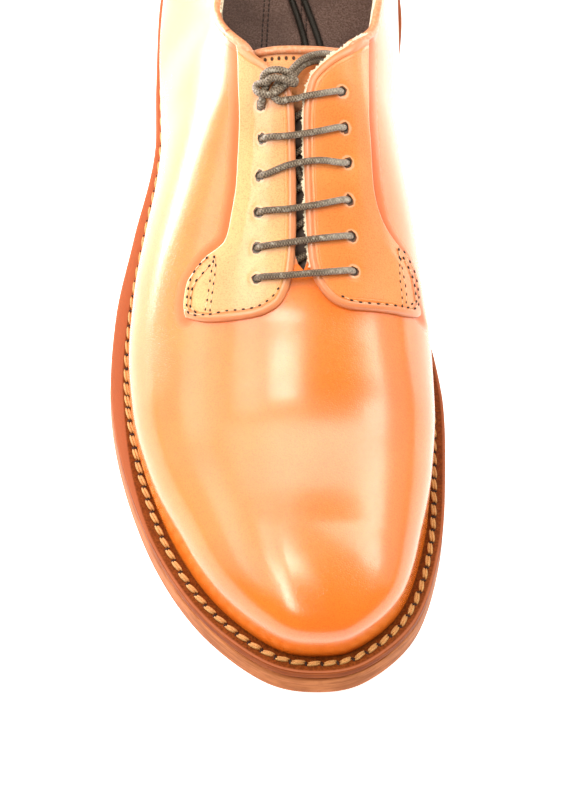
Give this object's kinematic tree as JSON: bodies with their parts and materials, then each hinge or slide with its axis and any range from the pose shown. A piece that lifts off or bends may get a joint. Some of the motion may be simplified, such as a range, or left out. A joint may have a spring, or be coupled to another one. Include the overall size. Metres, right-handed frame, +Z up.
{
  "type": "derby shoe",
  "caption": "Plain-toe derby shoe for the right foot with open lacing over a tongue, a stitched welt, a leather outsole and a stacked heel, standing empty on its sole.",
  "frame": {"origin": "under the middle of the shoe's outline, on the floor", "axes": "+Z up, the toe points along -Y and the heel along +Y, the inner side of the foot is +X"},
  "size_m": [0.1124, 0.2996, 0.106],
  "materials": {
    "upper_leather": "glossy smooth tan leather",
    "sole_leather": "burnished leather edge",
    "welt_leather": "waxed dark brown leather",
    "insole_leather": "matt dark brown leather",
    "heel_rubber": "matt",
    "lace_cord": "waxed round cord",
    "aglet_plastic": "satin"
  },
  "bodies": {
    "root": {"outsole": "sole_leather", "welt": "welt_leather", "insole": "insole_leather", "heel_top_piece": "heel_rubber", "heel_lift_1": "sole_leather", "heel_lift_2": "sole_leather", "heel_lift_3": "sole_leather", "upper": "upper_leather", "facing_lateral": "upper_leather", "facing_medial": "upper_leather", "tongue": "upper_leather", "lace_bars": "lace_cord", "lace_knot": "lace_cord", "lace_end_1": "lace_cord", "lace_end_2": "lace_cord", "aglet_1": "aglet_plastic", "aglet_2": "aglet_plastic"}
  },
  "joints": []
}
